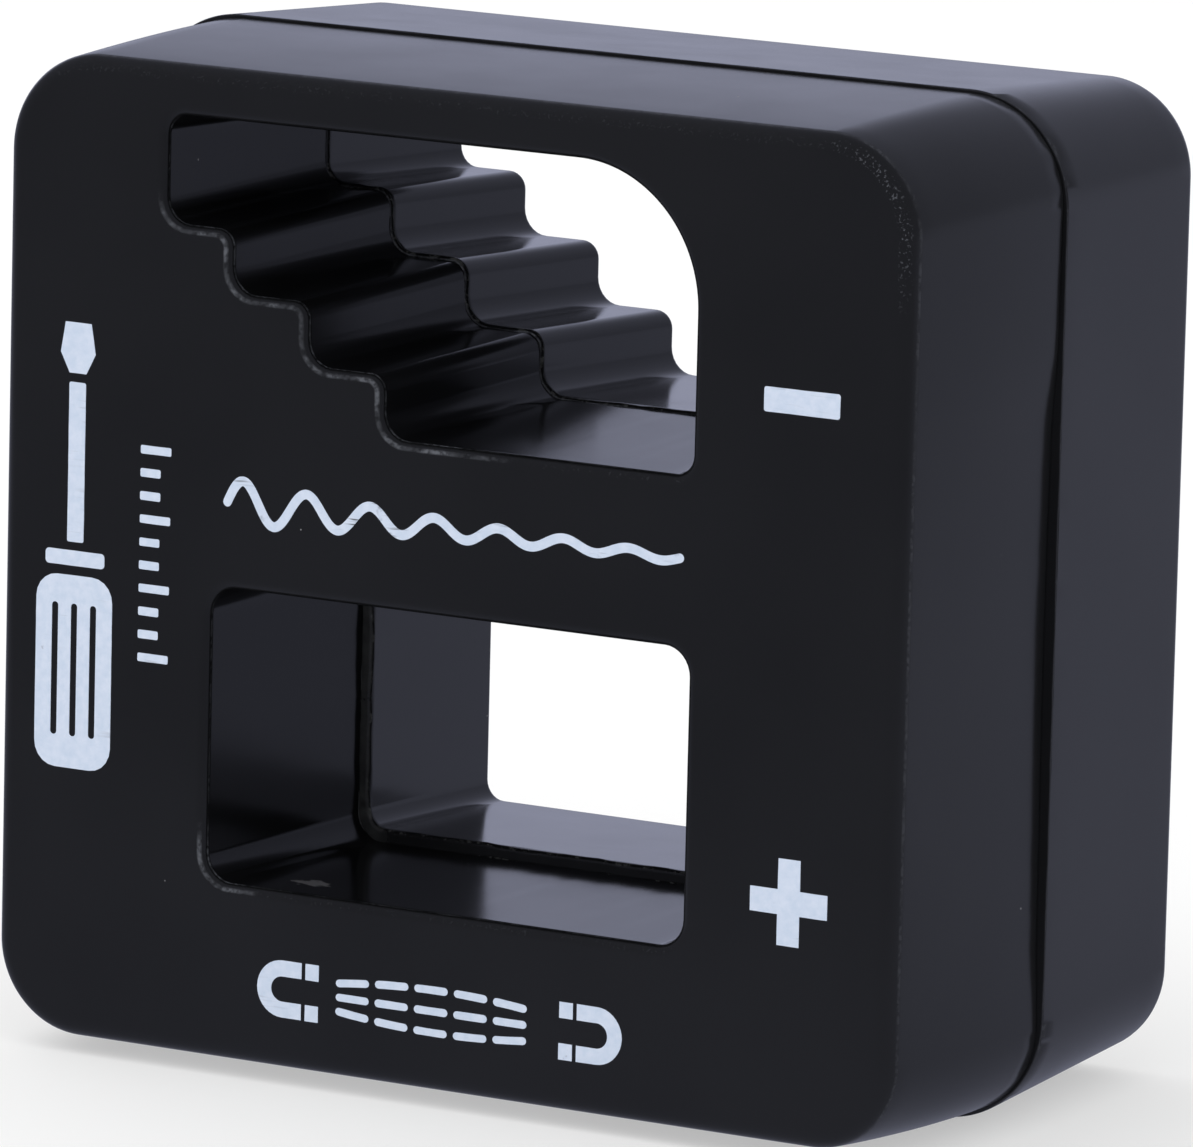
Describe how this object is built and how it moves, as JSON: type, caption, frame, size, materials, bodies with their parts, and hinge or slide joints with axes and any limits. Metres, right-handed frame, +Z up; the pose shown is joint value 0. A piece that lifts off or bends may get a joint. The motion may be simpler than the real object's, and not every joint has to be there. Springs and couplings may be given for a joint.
{
  "type": "demagnetizer",
  "caption": "Square black block with a plain window that magnetizes tool tips and a stair-stepped window that demagnetizes them.",
  "frame": {"origin": "bottom centre of the bounding box; the rear shell's rim touches the ground plane", "axes": "+X to the right seen from the printed front, +Y from the front face to the back face, +Z up"},
  "size_m": [0.052, 0.0284, 0.0502],
  "materials": {
    "front_plastic": "satin",
    "rear_plastic": "satin",
    "ferrite": "matte",
    "keeper_steel": "satin"
  },
  "bodies": {
    "root": {"front_shell": "front_plastic", "rear_shell": "rear_plastic", "magnet_left_lower": "ferrite", "magnet_left_upper": "ferrite", "magnet_right_lower": "ferrite", "magnet_right_upper": "ferrite", "keeper_left": "keeper_steel", "keeper_right": "keeper_steel"}
  },
  "joints": []
}
